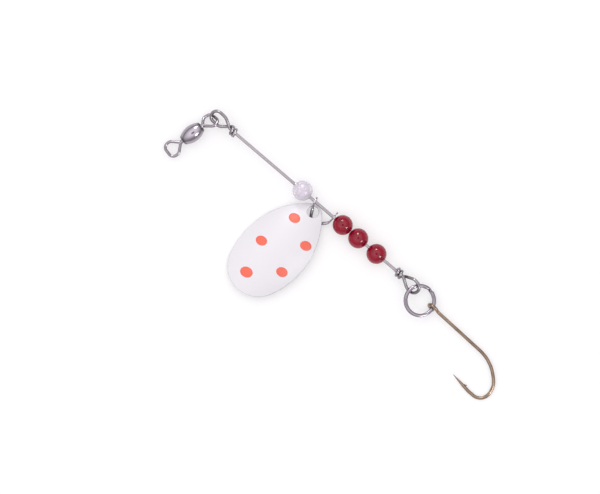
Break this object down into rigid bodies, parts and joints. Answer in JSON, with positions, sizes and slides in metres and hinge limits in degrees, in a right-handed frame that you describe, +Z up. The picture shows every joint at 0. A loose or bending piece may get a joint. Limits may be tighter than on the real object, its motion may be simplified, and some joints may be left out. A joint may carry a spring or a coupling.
{
  "type": "inline spinner",
  "caption": "Wire-shaft fishing spinner: barrel swivel, beads, a domed egg-shaped blade on a clevis, a split ring and a single barbed hook.",
  "frame": {"origin": "under the middle of the whole lure, on the surface it lies on", "axes": "+X along the wire shaft from the swivel end to the hook end, +Z up from the surface, the blade lies towards -Y"},
  "size_m": [0.1014, 0.0313, 0.005],
  "materials": {
    "shaft_steel": "bright drawn wire",
    "swivel_chrome": "polished",
    "clevis_steel": "bright wire",
    "blade_enamel": "gloss white enamel with five plain orange-red dots",
    "pearl": "pearly, slightly clear",
    "ruby": "clear ruby red",
    "ring_steel": "plated flat wire",
    "hook_bronze": "bronzed"
  },
  "bodies": {
    "shaft": {"shaft_wire": "shaft_steel"},
    "swivel_link": {"swivel_rear_eye": "swivel_chrome"},
    "barrel": {"swivel_barrel": "swivel_chrome"},
    "line_end": {"swivel_front_eye": "swivel_chrome"},
    "pearl": {"pearl_bead": "pearl"},
    "clevis_yoke": {"clevis": "clevis_steel"},
    "blade": {"spinner_blade": "blade_enamel"},
    "ruby_front": {"front_bead": "ruby"},
    "ruby_middle": {"middle_bead": "ruby"},
    "ruby_rear": {"rear_bead": "ruby"},
    "ring": {"split_ring": "ring_steel"},
    "hook_body": {"hook": "hook_bronze"}
  },
  "joints": [
    {"name": "swivel_swing", "type": "hinge", "parent": "shaft", "child": "swivel_link", "pos_m": [-0.04538, 0.01139, 0.0025], "axis": [-0.4685, 0.4131, 0.7809], "range_deg": [-90, 0]},
    {"name": "barrel_spin", "type": "hinge", "parent": "swivel_link", "child": "barrel", "pos_m": [-0.04715, 0.00622, 0.00212], "axis": [0.2071, 0.9744, 0.0872], "continuous": true},
    {"name": "line_eye_spin", "type": "hinge", "parent": "barrel", "child": "line_end", "pos_m": [-0.04715, 0.00622, 0.00212], "axis": [0.2071, 0.9744, 0.0872], "continuous": true},
    {"name": "pearl_slide", "type": "slide", "parent": "shaft", "child": "pearl", "axis": [1, 0, 0], "range_m": [-0.018, 0.0003]},
    {"name": "clevis_spin", "type": "hinge", "parent": "shaft", "child": "clevis_yoke", "pos_m": [-0.01067, 0.01315, 0.0025], "axis": [-1, 0, 0], "continuous": true},
    {"name": "blade_flap", "type": "hinge", "parent": "clevis_yoke", "child": "blade", "pos_m": [-0.01197, 0.01081, 0.00172], "axis": [-1, 0, 0], "range_deg": [0, 60]},
    {"name": "front_bead_spin", "type": "hinge", "parent": "shaft", "child": "ruby_front", "pos_m": [-0.00429, 0.01315, 0.0025], "axis": [1, 0, 0], "continuous": true},
    {"name": "middle_bead_spin", "type": "hinge", "parent": "shaft", "child": "ruby_middle", "pos_m": [0.00073, 0.01315, 0.0025], "axis": [1, 0, 0], "continuous": true},
    {"name": "rear_bead_slide", "type": "slide", "parent": "shaft", "child": "ruby_rear", "axis": [1, 0, 0], "range_m": [-0.0008, 0.003]},
    {"name": "ring_turn", "type": "hinge", "parent": "shaft", "child": "ring", "pos_m": [0.02223, 0.01135, 0.00237], "axis": [0.1722, 0.2107, 0.9622], "range_deg": [-100, 100]},
    {"name": "hook_flap", "type": "hinge", "parent": "ring", "child": "hook_body", "pos_m": [0.02577, 0.01204, 0.00159], "axis": [-0.2251, 0.9594, -0.1698], "range_deg": [-95, 95]}
  ]
}
